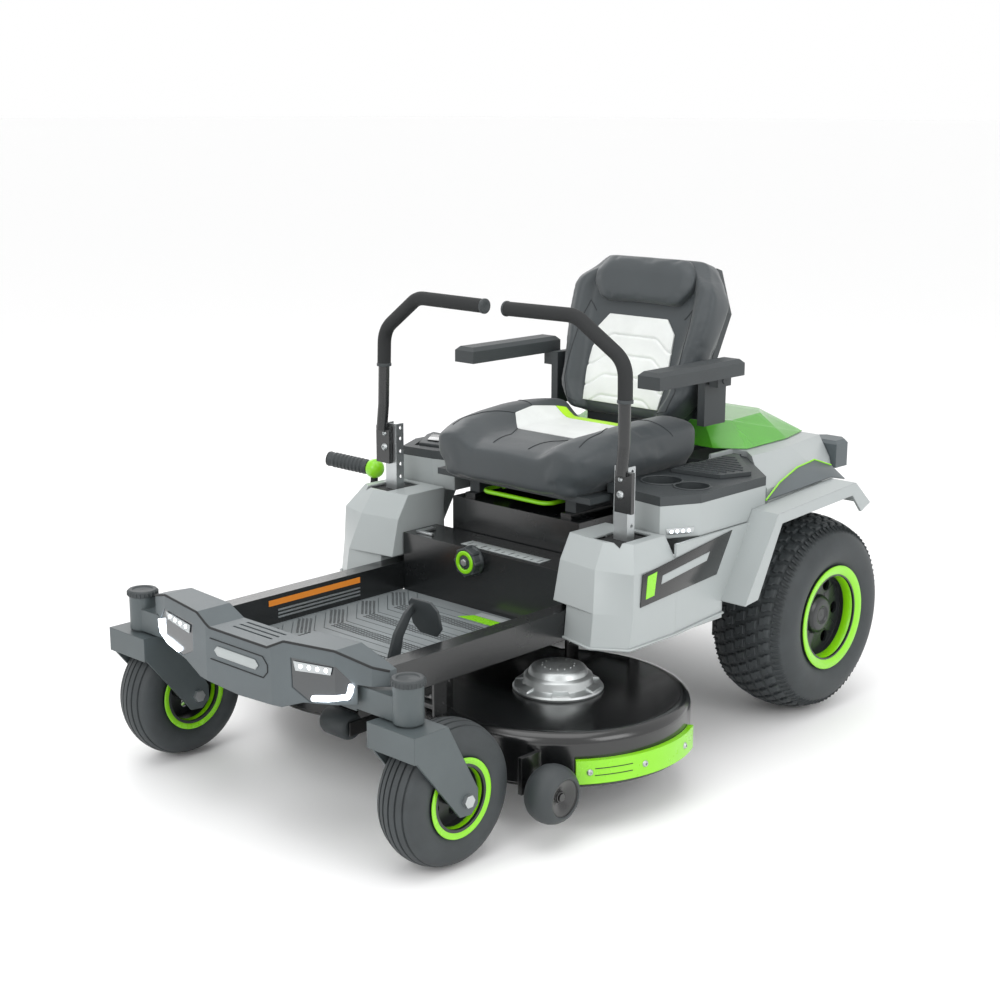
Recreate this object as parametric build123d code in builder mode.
from build123d import *

import os
from math import sqrt

os.makedirs("parts", exist_ok=True)

# A battery zero-turn mower with a 42 inch twin-blade deck. It is modelled with X = 0 on its
# mid-plane, Y = 0 at the rear axle, Z = 0 on the ground, the front towards -Y and the
# operator's left towards +X. save() then moves every piece so that the origin lies under
# the middle of the whole machine.

# ---- Wheels, in millimetres ----
WHEELBASE = 1178
REAR_TRACK = 771
FRONT_TRACK = 808
REAR_TYRE_R = 228.6
REAR_TYRE_W = 216
FRONT_TYRE_R = 139.7
FRONT_TYRE_W = 101.6
REAR_RIM_R = 101.6
FRONT_RIM_R = 64.6
CASTER_TRAIL = 86

# ---- Frame ----
RAIL_W = 40
RAIL_H = 64
RAIL_WALL = 3
RAIL_OUT = 281
RAIL_Z = 292
BEAM_Z = 300
BEAM_H = 47
BEAM_D = 40
PAN_T = 5
PIVOT_R = 28.5
PIVOT_H = 72
STEM_R = 15

# ---- Deck ----
LOBE_R = 275
BLADE_SPACING = 520
DECK_OFFSET = 25
DECK_LIP_Z = 90
DECK_H = 106
DECK_T = 3
LIFT_ARM = 105
DEFLECTOR_REACH = 184

# ---- Body ----
POD_TOP_Z = 507
CONSOLE_Z = 495
TRAY_Z = 565
TRAY_T = 20
WALL = 4
BOX_FRONT_Y = -665
FENDER_LIP = 6

# ---- Seat ----
SEAT_HALF = 250
SEAT_FRONT_Y = -585
SEAT_REAR_Y = -190
SEAT_Z = 562
SEAT_T = 92
SEAT_CORE_X = 214
BACK_TILT = 18.3

# ---- Fits ----
FIT = 0.05
GAP = 0.5

# ---- Places worked out from the sizes ----
REAR_X = REAR_TRACK / 2
FRONT_X = FRONT_TRACK / 2
FRONT_Y = -WHEELBASE
PIVOT_Y = FRONT_Y - CASTER_TRAIL
BEAM_REAR_Y = PIVOT_Y + BEAM_D / 2
RAIL_IN = RAIL_OUT - RAIL_W
RAIL_TOP = RAIL_Z + RAIL_H
TYRE_IN = REAR_X - REAR_TYRE_W / 2
BODY_HALF = min(RAIL_IN, TYRE_IN - 27)
RAIL_END_Y = -REAR_TYRE_R - 60
PAN_Z = RAIL_Z - 7
SWING_R = sqrt((CASTER_TRAIL + FRONT_TYRE_R) ** 2 + (FRONT_TYRE_W / 2) ** 2)
DECK_Y = PIVOT_Y + SWING_R + 33 + LOBE_R
LOBE_X = (DECK_OFFSET + BLADE_SPACING / 2, DECK_OFFSET - BLADE_SPACING / 2)
DECK_TOP = DECK_LIP_Z + DECK_H
FORK_TOP = BEAM_Z - 4
PIVOT_TOP = BEAM_Z + PIVOT_H
TRAY_TOP = TRAY_Z + TRAY_T
SEAT_WING_Z = TRAY_TOP + 13
FENDER_OUT = REAR_X + REAR_TYRE_W / 2 + FENDER_LIP
SKIRT_X = FENDER_OUT - 63
BUMPER_OUT = LOBE_X[0] + LOBE_R + 13
DEFLECTOR_OUT = LOBE_X[1] - LOBE_R - 7 - DEFLECTOR_REACH
BUMPER_FRONT_Y = PIVOT_Y - 66
GUARD_REAR_Y = 305
FRAME = Location((-(BUMPER_OUT + DEFLECTOR_OUT) / 2, -(BUMPER_FRONT_Y + GUARD_REAR_Y) / 2, 0))


def save(shape, name):
    """Moves a piece into the machine's frame, labels it and writes its STEP file."""
    placed = shape.moved(FRAME)
    placed.label = name
    export_step(placed, f"parts/{name}.step")


def save_pair(shape, name):
    """Writes the left piece and its mirror image on the right."""
    save(shape, f"{name}_left")
    save(mirror(shape, about=Plane.YZ), f"{name}_right")


def block(x, y, z, mode=Mode.ADD):
    """A box between two corners, given as (low, high) along each axis."""
    centre = tuple((low + high) / 2 for low, high in (x, y, z))
    with Locations(centre):
        Box(x[1] - x[0], y[1] - y[0], z[1] - z[0], mode=mode)


def rod(start, end, radius, mode=Mode.ADD):
    """A round bar from one point to another."""
    line = Vector(*end) - Vector(*start)
    with Locations(Plane(origin=start, z_dir=line.normalized()).location):
        Cylinder(radius, line.length, align=(Align.CENTER, Align.CENTER, Align.MIN), mode=mode)


def face(points):
    """A flat outline with straight sides."""
    Polygon(*points, align=None)


def side_plane(x):
    """The plane of constant x, drawn in (y, z)."""
    return Plane(origin=(x, 0, 0), x_dir=(0, 1, 0), z_dir=(1, 0, 0))


def front_plane(y):
    """The plane of constant y, drawn in (x, z) and facing the front."""
    return Plane(origin=(0, y, 0), x_dir=(1, 0, 0), z_dir=(0, -1, 0))


def axle_plane(x, y, z):
    """A plane through an axle, drawn in (along the axle, radius)."""
    return Plane(origin=(x, y, z), x_dir=(1, 0, 0), z_dir=(0, -1, 0))


# ---- Frame rails: box tubes with the lever post, the lift shaft ears and, on the right, ----
# ---- the pivot of the lift handle ----
LIFT_Z = 225
LIFT_FRONT_Y = DECK_Y - LOBE_R - 30
LIFT_REAR_Y = DECK_Y + LOBE_R + 25
LIFT_SHAFT_R = 10
LEVER_Y = -592
LEVER_X = 345
LEVER_PIVOT_Z = 480
LEVER_PIN_R = 6
POST_X = (RAIL_OUT, 326)
HANDLE_Y = -576
HANDLE_Z = 280
HANDLE_X = SKIRT_X + 18
HANDLE_PIN_R = 8

for side in (1, -1):
    with BuildPart() as frame_rail:
        block((RAIL_IN, RAIL_OUT), (BEAM_REAR_Y, RAIL_END_Y), (RAIL_Z, RAIL_TOP))
        block((RAIL_IN + RAIL_WALL, RAIL_OUT - RAIL_WALL), (BEAM_REAR_Y, RAIL_END_Y),
              (RAIL_Z + RAIL_WALL, RAIL_TOP - RAIL_WALL), mode=Mode.SUBTRACT)
        block(POST_X, (LEVER_Y - 14, LEVER_Y + 14), (RAIL_Z + 20, LEVER_PIVOT_Z + 12))
        rod((POST_X[1], LEVER_Y, LEVER_PIVOT_Z), (LEVER_X + 22, LEVER_Y, LEVER_PIVOT_Z), LEVER_PIN_R)
        for lift_y in (LIFT_FRONT_Y, LIFT_REAR_Y):
            block((RAIL_IN, RAIL_IN + 6), (lift_y - 17, lift_y + 17), (LIFT_Z - 17, RAIL_Z))
            rod((RAIL_IN, lift_y, LIFT_Z), (RAIL_IN + 6, lift_y, LIFT_Z), LIFT_SHAFT_R + FIT,
                mode=Mode.SUBTRACT)
        if side < 0:
            block((RAIL_OUT - 20, RAIL_OUT), (HANDLE_Y - 14, HANDLE_Y + 14), (HANDLE_Z - 12, RAIL_Z))
            rod((RAIL_OUT, HANDLE_Y, HANDLE_Z), (HANDLE_X + 12, HANDLE_Y, HANDLE_Z), HANDLE_PIN_R)
    if side > 0:
        save(frame_rail.part, "frame_rail_left")
    else:
        save(mirror(frame_rail.part, about=Plane.YZ), "frame_rail_right")

# ---- Front axle beam with the two caster pivot housings ----
with BuildPart() as front_axle_beam:
    block((-FRONT_X, FRONT_X), (PIVOT_Y - BEAM_D / 2, BEAM_REAR_Y), (BEAM_Z, BEAM_Z + BEAM_H))
    block((-FRONT_X, FRONT_X), (PIVOT_Y - BEAM_D / 2 + 3, BEAM_REAR_Y - 3),
          (BEAM_Z + 3, BEAM_Z + BEAM_H - 3), mode=Mode.SUBTRACT)
    block((-RAIL_OUT, RAIL_OUT), (PIVOT_Y - BEAM_D / 2 + 6, BEAM_REAR_Y - 6), (BEAM_Z - 8, BEAM_Z))
    for x in (-FRONT_X, FRONT_X):
        rod((x, PIVOT_Y, BEAM_Z), (x, PIVOT_Y, PIVOT_TOP), PIVOT_R)
        rod((x, PIVOT_Y, BEAM_Z), (x, PIVOT_Y, PIVOT_TOP), STEM_R + FIT, mode=Mode.SUBTRACT)
save(front_axle_beam.part, "front_axle_beam")

with BuildPart() as caster_caps:
    for x in (-FRONT_X, FRONT_X):
        with Locations((x, PIVOT_Y, PIVOT_TOP + 6)):
            Cylinder(PIVOT_R + 3, 12)
    chamfer(caster_caps.faces().filter_by(Axis.Z).sort_by(Axis.Z)[-2:].edges(), 2.5)
save(caster_caps.part, "caster_caps")

# ---- Caster forks, their axles and front wheels ----
CROWN_HALF = 62
LEG_T = 6
FRONT_AXLE_R = 8
with BuildPart() as caster_fork:
    block((FRONT_X - CROWN_HALF, FRONT_X + CROWN_HALF), (PIVOT_Y - 39, PIVOT_Y + 38), (FORK_TOP - 10, FORK_TOP))
    block((FRONT_X - CROWN_HALF, FRONT_X + CROWN_HALF), (PIVOT_Y - 45, PIVOT_Y - 39), (FORK_TOP - 50, FORK_TOP))
    for x in (FRONT_X - CROWN_HALF, FRONT_X + CROWN_HALF - LEG_T):
        with BuildSketch(side_plane(x)):
            face([(PIVOT_Y - 39, FORK_TOP), (PIVOT_Y + 38, FORK_TOP), (FRONT_Y + 28, FRONT_TYRE_R + 16),
                  (FRONT_Y + 28, FRONT_TYRE_R - 14), (FRONT_Y + 10, FRONT_TYRE_R - 30),
                  (FRONT_Y - 18, FRONT_TYRE_R - 28), (PIVOT_Y - 39, FORK_TOP - 50)])
        extrude(amount=LEG_T)
    rod((FRONT_X, PIVOT_Y, FORK_TOP), (FRONT_X, PIVOT_Y, PIVOT_TOP - 1), STEM_R)
    rod((FRONT_X, PIVOT_Y, FORK_TOP), (FRONT_X, PIVOT_Y, BEAM_Z - GAP), STEM_R + 7)
    rod((FRONT_X - CROWN_HALF, FRONT_Y, FRONT_TYRE_R), (FRONT_X + CROWN_HALF, FRONT_Y, FRONT_TYRE_R),
        FRONT_AXLE_R, mode=Mode.SUBTRACT)
save_pair(caster_fork.part, "caster_fork")

with BuildPart() as caster_axle:
    rod((FRONT_X - CROWN_HALF, FRONT_Y, FRONT_TYRE_R), (FRONT_X + CROWN_HALF, FRONT_Y, FRONT_TYRE_R),
        FRONT_AXLE_R)
    for x in (FRONT_X - CROWN_HALF - 8, FRONT_X + CROWN_HALF):
        with BuildSketch(side_plane(x)):
            with Locations((FRONT_Y, FRONT_TYRE_R)):
                RegularPolygon(13, 6)
        extrude(amount=8)
save_pair(caster_axle.part, "caster_axle")


def tyre(centre, radius, half, rim_r, bead_half, flange_r, wall):
    """A tyre turned about its axle, open towards the rim between its beads."""
    shoulder = radius - 0.09 * radius
    tread = 0.8 * half
    waist = (flange_r + shoulder) / 2
    with BuildPart() as made:
        with BuildSketch(axle_plane(*centre)):
            with BuildLine():
                Line((-bead_half, rim_r), (-bead_half, flange_r))
                ThreePointArc((-bead_half, flange_r), (-half, waist), (-tread, shoulder))
                ThreePointArc((-tread, shoulder), (0, radius), (tread, shoulder))
                ThreePointArc((tread, shoulder), (half, waist), (bead_half, flange_r))
                Line((bead_half, flange_r), (bead_half, rim_r))
                Line((bead_half, rim_r), (bead_half - wall, rim_r))
                Line((bead_half - wall, rim_r), (bead_half - wall, flange_r))
                ThreePointArc((bead_half - wall, flange_r), (half - wall, waist), (tread - wall, shoulder - wall))
                ThreePointArc((tread - wall, shoulder - wall), (0, radius - wall - 2),
                              (wall - tread, shoulder - wall))
                ThreePointArc((wall - tread, shoulder - wall), (wall - half, waist),
                              (wall - bead_half, flange_r))
                Line((wall - bead_half, flange_r), (wall - bead_half, rim_r))
                Line((wall - bead_half, rim_r), (-bead_half, rim_r))
            make_face()
        revolve(axis=Axis(centre, (1, 0, 0)))
    return made.part


def rim(centre, rim_r, bead_half, flange_r, disc, hub, hub_r, bore_r, windows, window_r, ring_r):
    """A pressed wheel: barrel, two flanges, a disc with windows and a hub with its bore."""
    inner_r = rim_r - 5
    low, high = disc
    with BuildPart() as made:
        with BuildSketch(axle_plane(*centre)):
            with Locations((0, rim_r - 3)):
                Rectangle(2 * bead_half + 12, 4)
            for x in (-bead_half - 3.3, bead_half + 3.3):
                with Locations((x, (flange_r + inner_r) / 2)):
                    Rectangle(5.4, flange_r - inner_r)
            with Locations(((low + high) / 2, (inner_r + hub_r) / 2)):
                Rectangle(high - low, inner_r - hub_r + 4)
            with Locations(((hub[0] + hub[1]) / 2, (hub_r + bore_r) / 2)):
                Rectangle(hub[1] - hub[0], hub_r - bore_r)
        revolve(axis=Axis(centre, (1, 0, 0)))
        with BuildSketch(side_plane(centre[0] + low - 1)):
            with Locations((centre[1], centre[2])):
                with PolarLocations(ring_r, windows):
                    Circle(window_r)
        extrude(amount=high - low + 2, mode=Mode.SUBTRACT)
    return made.part


FRONT_CENTRE = (FRONT_X, FRONT_Y, FRONT_TYRE_R)
FRONT_BEAD = FRONT_TYRE_W / 2 - 10
save_pair(tyre(FRONT_CENTRE, FRONT_TYRE_R, FRONT_TYRE_W / 2, FRONT_RIM_R, FRONT_BEAD, 75, 6), "front_tyre")
save_pair(rim(FRONT_CENTRE, FRONT_RIM_R, FRONT_BEAD, 75, (6, 11), (-48, 48), 20, FRONT_AXLE_R + FIT, 5, 9, 38),
          "front_rim")

# ---- Drive wheels, rear subframe and motors ----
REAR_CENTRE = (REAR_X, 0, REAR_TYRE_R)
REAR_BEAD = REAR_TYRE_W / 2 - 17
AXLE_R = 15
HUB_R = 38
save_pair(tyre(REAR_CENTRE, REAR_TYRE_R, REAR_TYRE_W / 2, REAR_RIM_R, REAR_BEAD, 120, 9), "rear_tyre")
save_pair(rim(REAR_CENTRE, REAR_RIM_R, REAR_BEAD, 120, (50, 57), (10, 70), HUB_R, AXLE_R + FIT, 6, 14, 72),
          "rear_rim")

SUB_Z = (RAIL_Z + 4, RAIL_TOP)
SUB_X = (BODY_HALF - 40, BODY_HALF - GAP)
SUB_FRONT_Y = -500
SUB_REAR_Y = 225
MOTOR_R = 62
PLATE_X = (SUB_X[0] + 16, SUB_X[0] + 22)
with BuildPart() as rear_subframe:
    for side in (1, -1):
        for x in (SUB_X, PLATE_X):
            span = sorted(side * value for value in x)
            if x is SUB_X:
                block(span, (SUB_FRONT_Y, SUB_REAR_Y), SUB_Z)
            else:
                block(span, (-95, 95), (REAR_TYRE_R - 80, SUB_Z[0]))
        rod((side * PLATE_X[0], 0, REAR_TYRE_R), (side * PLATE_X[1], 0, REAR_TYRE_R), MOTOR_R + GAP,
            mode=Mode.SUBTRACT)
    block((-SUB_X[0], SUB_X[0]), (SUB_FRONT_Y, SUB_FRONT_Y + 40), SUB_Z)
    block((-SUB_X[1], SUB_X[1]), (SUB_REAR_Y, SUB_REAR_Y + 40), SUB_Z)
save(rear_subframe.part, "rear_subframe")

with BuildPart() as drive_motor:
    rod((PLATE_X[0] - 90, 0, REAR_TYRE_R), (PLATE_X[1] + 14, 0, REAR_TYRE_R), MOTOR_R)
    rod((PLATE_X[1] + GAP, 0, REAR_TYRE_R), (PLATE_X[1] + 14, 0, REAR_TYRE_R), MOTOR_R + 4)
    rod((PLATE_X[1] + 14, 0, REAR_TYRE_R), (PLATE_X[1] + 24, 0, REAR_TYRE_R), 30)
    rod((PLATE_X[1] + 24, 0, REAR_TYRE_R), (REAR_X + 62, 0, REAR_TYRE_R), AXLE_R)
save_pair(drive_motor.part, "drive_motor")

HITCH_Y = SUB_REAR_Y + 66
HITCH_HOLE_R = 9.5
HITCH_T = 8
with BuildPart() as hitch_plate:
    block((-60, 60), (SUB_REAR_Y + 40, SUB_REAR_Y + 48), (SUB_Z[0], SUB_Z[1]))
    block((-45, 45), (SUB_REAR_Y + 48, GUARD_REAR_Y), (SUB_Z[0], SUB_Z[0] + HITCH_T))
    rod((0, HITCH_Y, SUB_Z[0]), (0, HITCH_Y, SUB_Z[0] + HITCH_T), HITCH_HOLE_R, mode=Mode.SUBTRACT)
save(hitch_plate.part, "hitch_plate")

# ---- Floor pan with the slot for the lift pedal ----
PEDAL_X = 138
with BuildPart() as floor_pan:
    block((GAP - RAIL_IN, RAIL_IN - GAP), (BEAM_REAR_Y, BOX_FRONT_Y - GAP), (PAN_Z, PAN_Z + PAN_T))
    block((PEDAL_X - 12, PEDAL_X + 12), (LIFT_FRONT_Y - 62, LIFT_FRONT_Y + 12), (PAN_Z, PAN_Z + PAN_T),
          mode=Mode.SUBTRACT)
save(floor_pan.part, "floor_pan")

# ---- Front bumper: a hooded cover over the beam, and the two head lamps let into it ----
BUMPER_PLAN = [(353, 20), (353, 4), (330, -20), (259, -47), (100, -66)]
BUMPER_FACE = [(0, 266), (126, 273), (180, 294), (268, 308), (300, 314), (360, 317), (360, 380),
               (330, 390), (259, 411), (133, 405), (88, 384)]
LAMP_FACE = [(150, 376), (262, 380), (296, 352), (290, 320), (196, 298), (152, 318)]


def both_sides(points):
    """Closes an outline over the mid-plane: the points, then their mirror image."""
    return points + [(-x, z) for x, z in reversed(points) if x > 0]


def bumper_core(inset, low, high):
    """The bumper's plan, drawn in by inset, as an upright prism."""
    with BuildPart() as core:
        with BuildSketch(Plane.XY.offset(low)) as plan:
            face(both_sides([(x, PIVOT_Y + y) for x, y in BUMPER_PLAN]))
            if inset:
                offset(amount=-inset, kind=Kind.INTERSECTION, mode=Mode.REPLACE)
        extrude(amount=high - low)
    return core.part


def lamp_prism(shrink):
    """Both lamp openings, as prisms that run back through the bumper's front wall."""
    with BuildPart() as prism:
        for side in (1, -1):
            with BuildSketch(front_plane(PIVOT_Y - 20)):
                face([(side * x, z) for x, z in LAMP_FACE])
                if shrink:
                    offset(amount=-shrink, kind=Kind.INTERSECTION, mode=Mode.REPLACE)
            extrude(amount=60)
    return prism.part


with BuildPart() as front_bumper:
    add(bumper_core(0, 250, 420))
    with BuildSketch(front_plane(PIVOT_Y + 40)):
        face(both_sides(BUMPER_FACE))
    extrude(amount=140, mode=Mode.INTERSECT)
    add(bumper_core(9, 250, 368), mode=Mode.SUBTRACT)
    block((-400, 400), (PIVOT_Y - 30, PIVOT_Y + 30), (240, 352), mode=Mode.SUBTRACT)
    block((-400, 400), (PIVOT_Y + 10, PIVOT_Y + 30), (240, 368), mode=Mode.SUBTRACT)
    for y in (-17, 0, 17):
        with BuildSketch(Plane.XY.offset(384)):
            with Locations((0, PIVOT_Y + y - 12)):
                SlotOverall(120, 5)
        extrude(amount=-4, mode=Mode.SUBTRACT)
    add((bumper_core(0, 250, 420) - bumper_core(5, 250, 420)) & lamp_prism(0), mode=Mode.SUBTRACT)
save(front_bumper.part, "front_bumper")

headlights = (bumper_core(1.5, 250, 420) - bumper_core(5, 250, 420)) & lamp_prism(0.6)
save(headlights, "headlights")

# ---- Battery box under the seat's front, its height plate and the height dial ----
BOX_TOP = 425
DIAL_X = -20
DIAL_Z = 400
DIAL_R = 34
DIAL_D = 26
DIAL_PIN_R = 6
BOX_DEEP = 105
with BuildPart() as battery_box:
    block((GAP - RAIL_IN, RAIL_IN - GAP), (BOX_FRONT_Y, BOX_FRONT_Y + BOX_DEEP), (PAN_Z, BOX_TOP))
    block((GAP + WALL - RAIL_IN, RAIL_IN - GAP - WALL), (BOX_FRONT_Y + WALL, BOX_FRONT_Y + BOX_DEEP),
          (PAN_Z, BOX_TOP - WALL), mode=Mode.SUBTRACT)
    rod((DIAL_X, BOX_FRONT_Y, DIAL_Z), (DIAL_X, BOX_FRONT_Y + WALL, DIAL_Z), DIAL_PIN_R + FIT,
        mode=Mode.SUBTRACT)
save(battery_box.part, "battery_box")

with BuildPart() as height_dial:
    rod((DIAL_X, BOX_FRONT_Y - 2, DIAL_Z), (DIAL_X, BOX_FRONT_Y - 2 - DIAL_D, DIAL_Z), DIAL_R)
    rod((DIAL_X, BOX_FRONT_Y + 14, DIAL_Z), (DIAL_X, BOX_FRONT_Y - 2, DIAL_Z), DIAL_PIN_R)
    fillet(height_dial.faces().sort_by(Axis.Y)[0].edges(), 4)
save(height_dial.part, "height_dial")

# ---- Side panels: lever pod, skirt and wheel arch in one moulding each ----
POD_REAR_Y = -530
POD_SECTIONS = [
    (300, [(282, -705), (372, -727), (437, -682), (437, POD_REAR_Y), (282, POD_REAR_Y)]),
    (371, [(282, -697), (370, -717), (437, -672), (437, POD_REAR_Y), (282, POD_REAR_Y)]),
]
POD_UPPER = [
    (371, [(245, -697), (370, -717), (437, -672), (437, POD_REAR_Y), (245, POD_REAR_Y)]),
    (455, [(245, -677), (352, -692), (434, -668), (437, POD_REAR_Y), (245, POD_REAR_Y)]),
    (POD_TOP_Z, [(244, -646), (346, -660), (404, -632), (404, POD_REAR_Y), (244, POD_REAR_Y)]),
]


def pod(sections, inset, rear, drop):
    """A ruled loft through the pod's level sections, drawn in by inset."""
    with BuildPart() as made:
        for index, (z, points) in enumerate(sections):
            last = index == len(sections) - 1
            with BuildSketch(Plane.XY.offset(z - drop if last else z)):
                face([(x, y + (rear if y == POD_REAR_Y else 0)) for x, y in points])
                if inset:
                    offset(amount=-inset, kind=Kind.INTERSECTION, mode=Mode.REPLACE)
        loft(ruled=True)
    return made.part


ARCH = [(-371, 338), (-258, 520), (50, 540), (115, 484)]
ARCH_LIP = [(78, 468), (38, 512), (-242, 497), (-323, 343)]
SLOT_X = (308, 382)
SLOT_Y = (-650, -545)
with BuildPart() as side_panel:
    add(pod(POD_SECTIONS, 0, 0, 0))
    add(pod(POD_UPPER, 0, 0, 0))
    add(pod([(296, POD_SECTIONS[0][1]), (372, POD_SECTIONS[1][1])], WALL, 12, 0), mode=Mode.SUBTRACT)
    add(pod([(370, POD_UPPER[0][1])] + POD_UPPER[1:], WALL, 12, WALL), mode=Mode.SUBTRACT)
    block(SLOT_X, SLOT_Y, (POD_TOP_Z - 10, POD_TOP_Z + 5), mode=Mode.SUBTRACT)
    block((SKIRT_X - FENDER_LIP, SKIRT_X), (POD_REAR_Y - 2, -366), (300, CONSOLE_Z - 1))
    block((RAIL_OUT - 3, RAIL_OUT + 9), (LEVER_Y - 16, POD_REAR_Y + 5), (299, 376), mode=Mode.SUBTRACT)
    with BuildSketch(side_plane(SKIRT_X - FENDER_LIP)):
        face([(-367, 338), (-367, CONSOLE_Z - 1), (-268, CONSOLE_Z - 1)])
    extrude(amount=FENDER_LIP)
    with BuildSketch(side_plane(SKIRT_X - FENDER_LIP)):
        face(ARCH + [(108, 480), (47, 533), (-254, 513), (-364, 338)])
    extrude(amount=FENDER_OUT - SKIRT_X + FENDER_LIP)
    with BuildSketch(side_plane(FENDER_OUT - FENDER_LIP)):
        face(ARCH + ARCH_LIP)
    extrude(amount=FENDER_LIP)
save_pair(side_panel.part, "side_panel")

# ---- Consoles each side of the seat, with their trays ----
CONSOLE = [(240, -500), (297, -517), (387, -527), (430, -443), (430, -208), (277, -66), (240, -66)]
CUPS = [((291, -400), 43), ((373, -400), 37)]
CUP_DEEP = 62
LID = [(257, -322), (375, -302), (403, -226), (280, -98), (257, -98)]
HINGE_Y = -92
LID_Z = TRAY_TOP + GAP
with BuildPart() as console:
    with BuildSketch(Plane.XY.offset(CONSOLE_Z)):
        face(CONSOLE)
    extrude(amount=TRAY_Z - CONSOLE_Z)
    with BuildSketch(Plane.XY.offset(CONSOLE_Z + WALL)):
        face(CONSOLE)
        offset(amount=-WALL, kind=Kind.INTERSECTION, mode=Mode.REPLACE)
    extrude(amount=TRAY_Z - CONSOLE_Z, mode=Mode.SUBTRACT)
save_pair(console.part, "console")


def tray_blank():
    """A console's cover plate before its openings are cut."""
    with BuildPart() as blank:
        with BuildSketch(Plane.XY.offset(TRAY_Z)):
            face(CONSOLE)
            face([(222, -500), (245, -502), (245, -196), (222, -196)])
        extrude(amount=TRAY_T)
    return blank.part


with BuildPart() as console_tray_left:
    add(tray_blank())
    for (x, y), radius in CUPS:
        rod((x, y, TRAY_TOP - CUP_DEEP), (x, y, TRAY_TOP - 5), radius + 3)
    for (x, y), radius in CUPS:
        rod((x, y, TRAY_TOP - CUP_DEEP + 3), (x, y, TRAY_TOP), radius, mode=Mode.SUBTRACT)
    with BuildSketch(Plane.XY.offset(TRAY_TOP - 58)):
        face([(258, -318), (370, -298), (398, -228), (280, -112), (258, -112)])
    extrude(amount=40)
    with BuildSketch(Plane.XY.offset(TRAY_TOP - 55)):
        face([(261, -315), (367, -295), (395, -229), (279, -115), (261, -115)])
    extrude(amount=60, mode=Mode.SUBTRACT)
save(console_tray_left.part, "console_tray_left")

with BuildPart() as tray_lid:
    with BuildSketch(Plane.XY.offset(LID_Z)):
        face(LID)
    extrude(amount=9)
    rod((258, HINGE_Y, LID_Z + 5), (278, HINGE_Y, LID_Z + 5), 5)
    block((258, 278), (-100, HINGE_Y), (LID_Z, LID_Z + 9))
save(tray_lid.part, "tray_lid")

KNOB = (-345, -350)
KNOB_STEM_R = 5
with BuildPart() as console_tray_right:
    add(mirror(tray_blank(), about=Plane.YZ))
    with BuildSketch(Plane.XY.offset(TRAY_TOP - 6)):
        face([(-262, -480), (-375, -500), (-415, -430), (-415, -390), (-262, -390)])
    extrude(amount=6, mode=Mode.SUBTRACT)
    rod((*KNOB, TRAY_Z), (*KNOB, TRAY_TOP), KNOB_STEM_R + FIT, mode=Mode.SUBTRACT)
save(console_tray_right.part, "console_tray_right")

with BuildPart() as pto_knob:
    rod((*KNOB, TRAY_Z - 12), (*KNOB, TRAY_TOP + 20), KNOB_STEM_R)
    rod((*KNOB, TRAY_TOP + 20), (*KNOB, TRAY_TOP + 42), 19)
    fillet(pto_knob.faces().sort_by(Axis.Z)[-1].edges(), 6)
save(pto_knob.part, "pto_knob")

# ---- Rear body around the battery bay, corner guards, fender trims, packs and hood ----
BAY_X = BODY_HALF - 8
BAY_Y = (-172, 218)
BODY_FLOOR = RAIL_TOP + GAP
HOOD_HINGE = (230, 604)
HOOD_PIN_R = 2.5
HOOD_BARREL = 60
BODY_LEVELS = [
    (480, [(SKIRT_X - 8, -190), (SKIRT_X - 8, 40), (330, 232)]),
    (546, [(SKIRT_X - 32, -165), (SKIRT_X - 32, 50), (312, 232)]),
    (598, [(318, -150), (312, 60), (285, 225)]),
]
with BuildPart() as rear_body:
    for z, points in BODY_LEVELS:
        with BuildSketch(Plane.XY.offset(z)):
            face(points + [(-x, y) for x, y in reversed(points)])
    loft(ruled=True)
    block((-BODY_HALF, BODY_HALF), (-190, 228), (BODY_FLOOR, 481))
    block((-BAY_X, BAY_X), BAY_Y, (BODY_FLOOR + WALL, 580), mode=Mode.SUBTRACT)
    block((-BAY_X, BAY_X), (-196, BAY_Y[1]), (540, 640), mode=Mode.SUBTRACT)
    for side in (1, -1):
        with BuildSketch(Plane.XY.offset(CONSOLE_Z - GAP)):
            face([(side * x, y) for x, y in CONSOLE])
            offset(amount=GAP, kind=Kind.INTERSECTION, mode=Mode.REPLACE)
        extrude(amount=150, mode=Mode.SUBTRACT)
    for side in (1, -1):
        block(sorted((side * (HOOD_BARREL + 4), side * (HOOD_BARREL + 12))), (224, 236), (585, 609))
    rod((-HOOD_BARREL - 8, *HOOD_HINGE), (HOOD_BARREL + 8, *HOOD_HINGE), HOOD_PIN_R)
save(rear_body.part, "rear_body")

with BuildPart() as rear_guards:
    for side in (1, -1):
        block(sorted((side * 236, side * 330)), (233, GUARD_REAR_Y), (520, 585))
    chamfer(rear_guards.edges().filter_by(Axis.Z).group_by(Axis.Y)[-1], 22)
    chamfer(rear_guards.faces().filter_by(Axis.Z).group_by(Axis.Z)[-1].edges(), 8)
save(rear_guards.part, "rear_guards")

PACK = (140, 150, 205)
with BuildPart() as battery_packs:
    for x in (-150, 0, 150):
        for y in (-28, 134):
            block((x - PACK[0] / 2, x + PACK[0] / 2), (y - PACK[1] / 2, y + PACK[1] / 2),
                  (BODY_FLOOR + WALL, BODY_FLOOR + WALL + PACK[2]))
    chamfer(battery_packs.faces().filter_by(Axis.Z).group_by(Axis.Z)[-1].edges(), 8)
save(battery_packs.part, "battery_packs")

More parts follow.
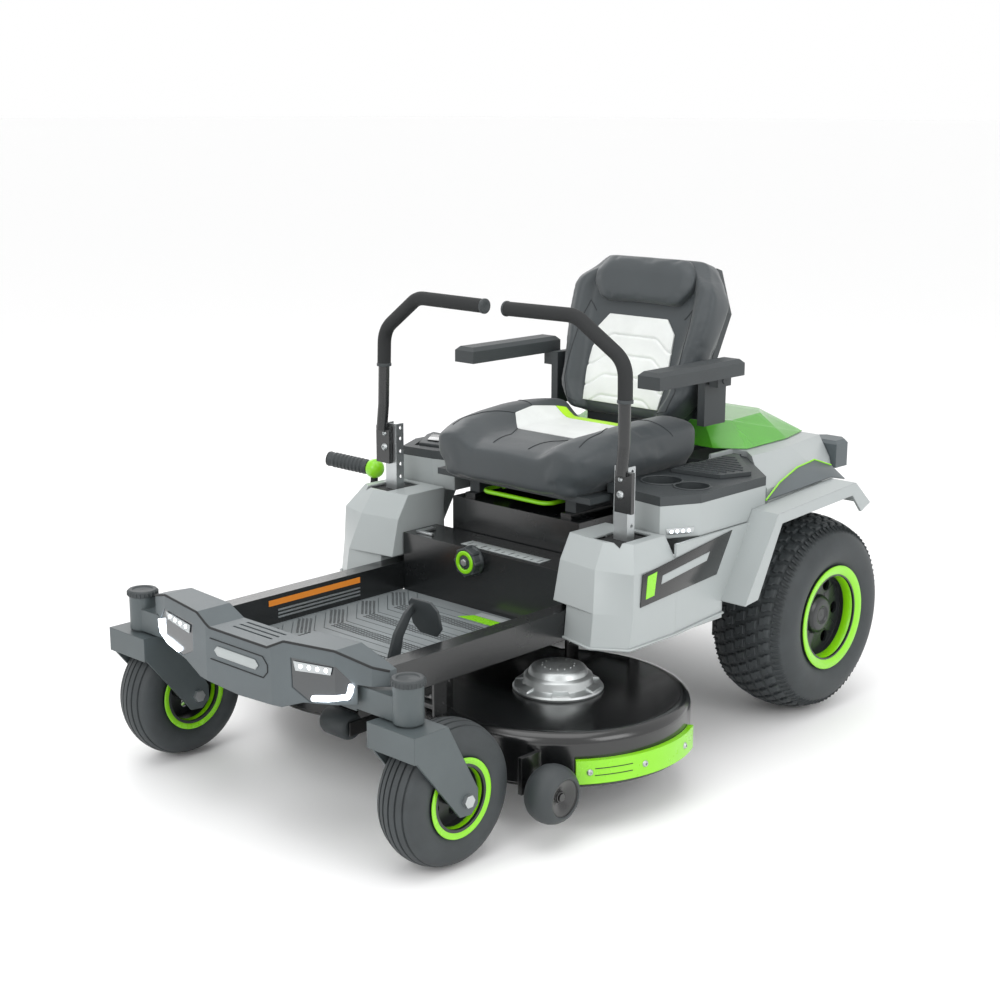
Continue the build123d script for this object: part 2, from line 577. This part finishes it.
HOOD_Z = 600
HOOD_TOP = 655
HOOD_Y = (-98, 228)
HOOD_LOW = [(205, HOOD_Y[0]), (268, -50), (262, 120), (235, HOOD_Y[1])]
HOOD_HIGH = [(150, -62), (200, -20), (190, 110), (150, 160)]
with BuildPart() as battery_hood:
    for z, points in ((HOOD_Z, HOOD_LOW), (HOOD_TOP, HOOD_HIGH)):
        with BuildSketch(Plane.XY.offset(z)):
            face(points + [(-x, y) for x, y in reversed(points)])
    loft(ruled=True)
    with BuildPart(mode=Mode.PRIVATE) as hollow:
        for z, points in ((HOOD_Z, HOOD_LOW), (HOOD_TOP - 5, HOOD_HIGH)):
            with BuildSketch(Plane.XY.offset(z)):
                face(points + [(-x, y) for x, y in reversed(points)])
                offset(amount=-5, kind=Kind.INTERSECTION, mode=Mode.REPLACE)
        loft(ruled=True)
    add(hollow.part, mode=Mode.SUBTRACT)
    for side in (1, -1):
        block(sorted((side * (HOOD_BARREL + 1), side * (HOOD_BARREL + 15))), (218, 240), (596, 616),
              mode=Mode.SUBTRACT)
    rod((-HOOD_BARREL, *HOOD_HINGE), (HOOD_BARREL, *HOOD_HINGE), HOOD_PIN_R + 3)
    rod((-HOOD_BARREL - 1, *HOOD_HINGE), (HOOD_BARREL + 1, *HOOD_HINGE), HOOD_PIN_R + FIT, mode=Mode.SUBTRACT)
save(battery_hood.part, "battery_hood")

# ---- Seat: base with slide rails, shell, cushions, armrests and the slide release bar ----
BASE_TOP = 500
BASE_Y = (BOX_FRONT_Y + BOX_DEEP + 5, -250)
BASE_X = BODY_HALF - 50
RAIL_LOW_Z = BASE_TOP + 12
with BuildPart() as seat_base:
    block((-BASE_X, BASE_X), BASE_Y, (RAIL_TOP + GAP, BASE_TOP))
    block((WALL - BASE_X, BASE_X - WALL), (BASE_Y[0] + WALL, BASE_Y[1] - WALL), (RAIL_TOP, BASE_TOP - WALL),
          mode=Mode.SUBTRACT)
    for side in (1, -1):
        block(sorted((side * 130, side * 160)), (-545, -215), (BASE_TOP, RAIL_LOW_Z))
save(seat_base.part, "seat_base")

TILT = BACK_TILT
BACK = Plane(origin=(0, SEAT_REAR_Y, 640), x_dir=(1, 0, 0),
             z_dir=Vector(0, -1, 0).rotate(Axis.X, -TILT))
BACK_OUTLINE = [(-140, 30), (140, 30), (178, 75), (205, 300), (150, 400), (-150, 400), (-205, 300),
                (-178, 75)]
BAR_PIVOT = (-480, 527)
BAR_PIN_R = 4
CUSHION_T = 70
SHELL_T = 20
ARM_Y = -140
ARM_Z = 770
ARM_PIN_R = 8
PAN_TOP = SEAT_Z - GAP
with BuildPart() as seat_shell:
    for side in (1, -1):
        block(sorted((side * 130, side * 160)), (-530, -230), (RAIL_LOW_Z + GAP, PAN_TOP - 13))
        block(sorted((side * 212, side * 232)), (-172, -92), (664, 790))
        block(sorted((side * 150, side * 232)), (-112, -92), (664, 790))
        rod((side * 232, ARM_Y, ARM_Z), (side * 264, ARM_Y, ARM_Z), ARM_PIN_R)
        rod((side * 129, *BAR_PIVOT), (side * 145, *BAR_PIVOT), BAR_PIN_R + FIT, mode=Mode.SUBTRACT)
    block((20 - SEAT_HALF, SEAT_HALF - 20), (SEAT_FRONT_Y + 20, -146), (PAN_TOP - 14, PAN_TOP))
    with BuildSketch(BACK.offset(-CUSHION_T + 24)):
        face([(x * 0.97, y) for x, y in BACK_OUTLINE])
    extrude(amount=-SHELL_T)
    block((-120, 120), (-166, -112), (PAN_TOP - 14, 712))
    with BuildSketch(BACK.offset(24)):
        face(BACK_OUTLINE)
        offset(amount=1, kind=Kind.INTERSECTION, mode=Mode.REPLACE)
    extrude(amount=-CUSHION_T - GAP, mode=Mode.SUBTRACT)
save(seat_shell.part, "seat_shell")

with BuildPart() as seat_cushion:
    block((-SEAT_HALF, SEAT_HALF), (SEAT_FRONT_Y, SEAT_REAR_Y), (SEAT_WING_Z, SEAT_Z + SEAT_T))
    fillet(seat_cushion.edges().filter_by(Axis.Z), 55)
    fillet(seat_cushion.faces().filter_by(Axis.Z).sort_by(Axis.Z)[-1].edges(), 30)
    block((-SEAT_CORE_X, SEAT_CORE_X), (SEAT_FRONT_Y + 40, SEAT_REAR_Y - 20), (SEAT_Z, SEAT_WING_Z + 1))
save(seat_cushion.part, "seat_cushion")

with BuildPart() as seat_back_cushion:
    with BuildSketch(BACK.offset(24)):
        face(BACK_OUTLINE)
    extrude(amount=-CUSHION_T)
save(seat_back_cushion.part, "seat_back_cushion")

ARM_X = (245, 305)
with BuildPart() as armrest:
    block(ARM_X, (-432, -125), (785, 822))
    block((238, 262), (-165, -115), (756, 786))
    chamfer(armrest.faces().sort_by(Axis.Z)[-1].edges(), 9)
    rod((238, ARM_Y, ARM_Z), (266, ARM_Y, ARM_Z), ARM_PIN_R + FIT, mode=Mode.SUBTRACT)
save_pair(armrest.part, "armrest")

BAR_Z = 527
BAR_R = 5
with BuildPart() as seat_adjust_bar:
    with BuildLine() as bar_route:
        FilletPolyline((-100, -480, BAR_Z), (-100, -555, BAR_Z), (100, -555, BAR_Z), (100, -480, BAR_Z),
                       radius=[25, 25])
    with BuildSketch(Plane(origin=bar_route.line @ 0, z_dir=bar_route.line % 0)):
        Circle(BAR_R)
    sweep(path=bar_route.line)
    for x in (-100, 100):
        block((x - 7, x + 7), (-486, -470), (BAR_Z - 7, BAR_Z + 7))
        rod((x, *BAR_PIVOT), (x + (44 if x > 0 else -44), *BAR_PIVOT), BAR_PIN_R)
save(seat_adjust_bar.part, "seat_adjust_bar")

# ---- Steering levers: a pivoting channel each side and the arm that swings out from it ----
CHANNEL_X = (LEVER_X - 18, LEVER_X + 18)
CHANNEL_Y = (LEVER_Y - 12, LEVER_Y + 12)
CHANNEL_TOP = 655
SWING_Z = 600
SWING_R_PIN = 6
TUBE_R = 13
ARM_TUBE = [(358, -620, 640), (358, -613, 700), (355, -610, 872), (232, -622, 956), (30, -615, 953)]
with BuildPart() as lever_bracket:
    block(CHANNEL_X, CHANNEL_Y, (LEVER_PIVOT_Z - 14, CHANNEL_TOP))
    block((CHANNEL_X[0] + 3, CHANNEL_X[1] - 3), (CHANNEL_Y[0] + 3, CHANNEL_Y[1] + 1),
          (LEVER_PIVOT_Z - 15, CHANNEL_TOP + 1), mode=Mode.SUBTRACT)
    rod((CHANNEL_X[0] - 1, LEVER_Y, LEVER_PIVOT_Z), (CHANNEL_X[1] + 1, LEVER_Y, LEVER_PIVOT_Z),
        LEVER_PIN_R + FIT, mode=Mode.SUBTRACT)
    for z in (530, 560, 590, 620, 645):
        rod((CHANNEL_X[0] - 1, LEVER_Y + 2, z), (CHANNEL_X[1] + 1, LEVER_Y + 2, z), 4, mode=Mode.SUBTRACT)
    rod((LEVER_X + 8, CHANNEL_Y[0] + 1, SWING_Z), (LEVER_X + 8, CHANNEL_Y[0] - 12, SWING_Z), SWING_R_PIN)
save_pair(lever_bracket.part, "lever_bracket")

with BuildPart() as lever_arm:
    block((LEVER_X - 7, LEVER_X + 37), (CHANNEL_Y[0] - 12, CHANNEL_Y[0] - 2), (562, 648))
    rod((LEVER_X + 8, CHANNEL_Y[0], SWING_Z), (LEVER_X + 8, CHANNEL_Y[0] - 13, SWING_Z),
        SWING_R_PIN + FIT, mode=Mode.SUBTRACT)
    with BuildLine() as route:
        FilletPolyline(*ARM_TUBE, radius=[60, 60, 55])
    with BuildSketch(Plane(origin=route.line @ 0, z_dir=route.line % 0)):
        Circle(TUBE_R)
    sweep(path=route.line)
save_pair(lever_arm.part, "lever_arm")

# ---- Lift handle on the right ----
BALL_Z = 524
with BuildPart() as lift_handle:
    rod((-HANDLE_X - 5, HANDLE_Y, HANDLE_Z), (-HANDLE_X + 5, HANDLE_Y, HANDLE_Z), 16)
    rod((-HANDLE_X, HANDLE_Y, HANDLE_Z), (-HANDLE_X, HANDLE_Y + 20, BALL_Z), 9)
    with Locations((-HANDLE_X, HANDLE_Y + 20, BALL_Z)):
        Sphere(23)
    rod((-HANDLE_X, HANDLE_Y + 20, BALL_Z), (-HANDLE_X - 118, HANDLE_Y - 22, BALL_Z + 14), 17)
    rod((-HANDLE_X - 12, HANDLE_Y, HANDLE_Z), (-HANDLE_X + 12, HANDLE_Y, HANDLE_Z), HANDLE_PIN_R + FIT,
        mode=Mode.SUBTRACT)
save(lift_handle.part, "lift_handle")

# ---- Deck: shell with hangers, motor covers, bumper, blades, wheels and deflector ----
LUG_X = (150, 156)
LINK_Y = (LIFT_FRONT_Y + LIFT_ARM, LIFT_REAR_Y - LIFT_ARM)
LINK_PIN_R = 5
SPINDLE_R = 12.5
WHEEL = (LOBE_X[0] + 217, DECK_Y - 261, 104)
WHEEL_R = 58
WHEEL_HALF = 36
ROLLER = (-40, DECK_Y - 315, 120)
ROLLER_R = 30
ROLLER_HALF = 40
ROLLER_PIN_R = 6
DEFLECTOR_Y = (DECK_Y - 115, DECK_Y + 85)
DEFLECTOR_X = LOBE_X[1] - LOBE_R - 7
DEFLECTOR_Z = 180
DEFLECTOR_PIN_R = 3


def deck_plan(inset):
    """The twin-lobe outline of the deck, drawn in by inset."""
    for x in LOBE_X:
        with Locations((x, DECK_Y)):
            Circle(LOBE_R - inset)
    with Locations((DECK_OFFSET, DECK_Y)):
        Rectangle(BLADE_SPACING, 2 * (LOBE_R - 60 - inset))


with BuildPart() as deck_shell:
    with BuildSketch(Plane.XY.offset(DECK_LIP_Z)):
        deck_plan(0)
    extrude(amount=DECK_H)
    chamfer(deck_shell.faces().sort_by(Axis.Z)[-1].edges(), 22)
    with BuildSketch(Plane.XY.offset(DECK_LIP_Z)):
        deck_plan(DECK_T)
    extrude(amount=DECK_H - 24, mode=Mode.SUBTRACT)
    with BuildSketch(Plane.XY.offset(DECK_LIP_Z + DECK_H - 24)):
        deck_plan(26)
    extrude(amount=24 - DECK_T, mode=Mode.SUBTRACT)
    for x in LOBE_X:
        rod((x, DECK_Y, DECK_TOP - 10), (x, DECK_Y, DECK_TOP + 1), SPINDLE_R + FIT, mode=Mode.SUBTRACT)
    for side in (1, -1):
        for y in LINK_Y:
            block(sorted((side * LUG_X[0], side * LUG_X[1])), (y - 20, y + 20), (DECK_TOP - 1, LIFT_Z + 15))
            block(sorted((side * LUG_X[0], side * LUG_X[1])), (y - 13, y + 13), (LIFT_Z - 6.5, LIFT_Z + 6.5),
                  mode=Mode.SUBTRACT)
    block((DEFLECTOR_X - 20, DEFLECTOR_X + 70), (DEFLECTOR_Y[0] + 6, DEFLECTOR_Y[1] - 6),
          (DECK_LIP_Z - 1, 165), mode=Mode.SUBTRACT)
    for y in (DEFLECTOR_Y[0] - 14, DEFLECTOR_Y[1] + 4):
        block((DEFLECTOR_X - 16, DEFLECTOR_X + 75), (y, y + 10), (168, 188))
    rod((DEFLECTOR_X - 10, DEFLECTOR_Y[0] - 6, DEFLECTOR_Z),
        (DEFLECTOR_X - 10, DEFLECTOR_Y[1] + 6, DEFLECTOR_Z), DEFLECTOR_PIN_R)
    for x, reach in ((ROLLER[0] - ROLLER_HALF - 7, 50), (ROLLER[0] + ROLLER_HALF + 2, 62)):
        block((x, x + 5), (ROLLER[1] - 15, DECK_Y - LOBE_R + reach), (ROLLER[2] - 15, ROLLER[2] + 15))
    rod((ROLLER[0] - ROLLER_HALF - 2, ROLLER[1], ROLLER[2]), (ROLLER[0] + ROLLER_HALF + 2, ROLLER[1], ROLLER[2]),
        ROLLER_PIN_R)
    block((WHEEL[0] - WHEEL_HALF - 34, WHEEL[0] - WHEEL_HALF - 24), (WHEEL[1] - 20, WHEEL[1] + 41),
          (WHEEL[2] - 15, WHEEL[2] + 60))
    rod((WHEEL[0] - WHEEL_HALF - 24, WHEEL[1], WHEEL[2]), (WHEEL[0] + WHEEL_HALF - 10, WHEEL[1], WHEEL[2]), 8)
save(deck_shell.part, "deck_shell")

with BuildPart() as deck_motor_covers:
    for x in LOBE_X:
        rod((x, DECK_Y, DECK_TOP), (x, DECK_Y, DECK_TOP + 8), 93)
        rod((x, DECK_Y, DECK_TOP), (x, DECK_Y, DECK_TOP + 50), 71)
        rod((x, DECK_Y, DECK_TOP), (x, DECK_Y, DECK_TOP + 45), 60, mode=Mode.SUBTRACT)
    chamfer(deck_motor_covers.faces().filter_by(Axis.Z).group_by(Axis.Z)[-1].edges(), 8)
save(deck_motor_covers.part, "deck_motor_covers")

with BuildPart() as deck_bumper:
    with BuildSketch(Plane.XY.offset(100)):
        with Locations((LOBE_X[0], DECK_Y)):
            Circle(LOBE_R + 12)
            Circle(LOBE_R + GAP, mode=Mode.SUBTRACT)
    extrude(amount=48)
    with BuildSketch(Plane.XY.offset(99)):
        face([(LOBE_X[0], DECK_Y), (LOBE_X[0] + 330, DECK_Y - 292), (LOBE_X[0] + 500, DECK_Y),
              (LOBE_X[0] + 360, DECK_Y + 170)])
    extrude(amount=50, mode=Mode.INTERSECT)
save(deck_bumper.part, "deck_bumper")

BLADE_Z = 108
for name, x in (("blade_left", LOBE_X[0]), ("blade_right", LOBE_X[1])):
    with BuildPart() as blade:
        block((x - LOBE_R + 16, x + LOBE_R - 16), (DECK_Y - 30, DECK_Y + 30), (BLADE_Z, BLADE_Z + 5))
        rod((x, DECK_Y, BLADE_Z - 12), (x, DECK_Y, BLADE_Z), 16)
        rod((x, DECK_Y, BLADE_Z + 5), (x, DECK_Y, DECK_TOP + 4), SPINDLE_R)
    save(blade.part, name)


def deck_wheel(centre, radius, half, bore_r):
    """A rounded plastic wheel with a bore for its bolt."""
    with BuildPart() as made:
        rod((centre[0] - half, centre[1], centre[2]), (centre[0] + half, centre[1], centre[2]), radius)
        fillet(made.edges().filter_by(GeomType.CIRCLE), 14)
        rod((centre[0] - half, centre[1], centre[2]), (centre[0] + half, centre[1], centre[2]), bore_r,
            mode=Mode.SUBTRACT)
    return made.part


save(deck_wheel(WHEEL, WHEEL_R, WHEEL_HALF, 8 + FIT), "anti_scalp_wheel")
save(deck_wheel(ROLLER, ROLLER_R, ROLLER_HALF, 6 + FIT), "front_roller")

with BuildPart() as discharge_deflector:
    rod((DEFLECTOR_X - 10, DEFLECTOR_Y[0], DEFLECTOR_Z), (DEFLECTOR_X - 10, DEFLECTOR_Y[1], DEFLECTOR_Z), 8)
    with BuildSketch(front_plane(DEFLECTOR_Y[1])):
        face([(DEFLECTOR_X - 10, DEFLECTOR_Z + 6), (DEFLECTOR_X - 12, DEFLECTOR_Z - 2),
              (DEFLECTOR_OUT, 104), (DEFLECTOR_OUT, 112)])
    extrude(amount=DEFLECTOR_Y[1] - DEFLECTOR_Y[0])
    for y in (DEFLECTOR_Y[0] + 5, DEFLECTOR_Y[1]):
        with BuildSketch(front_plane(y)):
            face([(DEFLECTOR_X - 12, DEFLECTOR_Z), (DEFLECTOR_X - 12, 100), (DEFLECTOR_OUT, 92), (DEFLECTOR_OUT, 108)])
        extrude(amount=5)
    rod((DEFLECTOR_X - 10, DEFLECTOR_Y[0] - 1, DEFLECTOR_Z), (DEFLECTOR_X - 10, DEFLECTOR_Y[1] + 1, DEFLECTOR_Z),
        DEFLECTOR_PIN_R + FIT, mode=Mode.SUBTRACT)
save(discharge_deflector.part, "discharge_deflector")

# ---- Lift shafts with their arms, and the foot pedal on the front one ----
for name, shaft_y, link_y in (("lift_shaft_front", LIFT_FRONT_Y, LINK_Y[0]),
                              ("lift_shaft_rear", LIFT_REAR_Y, LINK_Y[1])):
    with BuildPart() as lift_shaft:
        rod((-RAIL_IN - 6, shaft_y, LIFT_Z), (RAIL_IN + 6, shaft_y, LIFT_Z), LIFT_SHAFT_R)
        for side in (1, -1):
            block(sorted((side * (LUG_X[1] + 2), side * (LUG_X[1] + 8))), sorted((shaft_y, link_y)),
                  (LIFT_Z - 7, LIFT_Z + 7))
            rod((side * (LUG_X[0] - 4), link_y, LIFT_Z), (side * (LUG_X[1] + 8), link_y, LIFT_Z), LINK_PIN_R)
    save(lift_shaft.part, name)

PEDAL_PAD = (LIFT_FRONT_Y + 40, 386)
with BuildPart() as lift_pedal:
    rod((PEDAL_X - 6, LIFT_FRONT_Y, LIFT_Z), (PEDAL_X + 6, LIFT_FRONT_Y, LIFT_Z), 18)
    with BuildSketch(side_plane(PEDAL_X - 4)):
        face([(LIFT_FRONT_Y - 10, LIFT_Z + 8), (LIFT_FRONT_Y + 10, LIFT_Z + 8), (LIFT_FRONT_Y - 12, 300),
              (LIFT_FRONT_Y - 4, 345), (PEDAL_PAD[0], PEDAL_PAD[1] - 6), (PEDAL_PAD[0] - 8, PEDAL_PAD[1] + 4),
              (LIFT_FRONT_Y - 28, 352), (LIFT_FRONT_Y - 36, 300)])
    extrude(amount=8)
    with BuildSketch(side_plane(PEDAL_X - 30)):
        face([(PEDAL_PAD[0] - 30, PEDAL_PAD[1] + 32), (PEDAL_PAD[0] - 34, PEDAL_PAD[1] + 26),
              (PEDAL_PAD[0] + 18, PEDAL_PAD[1] - 30), (PEDAL_PAD[0] + 24, PEDAL_PAD[1] - 26)])
    extrude(amount=60)
    rod((PEDAL_X - 7, LIFT_FRONT_Y, LIFT_Z), (PEDAL_X + 7, LIFT_FRONT_Y, LIFT_Z), LIFT_SHAFT_R + FIT,
        mode=Mode.SUBTRACT)
save(lift_pedal.part, "lift_pedal")
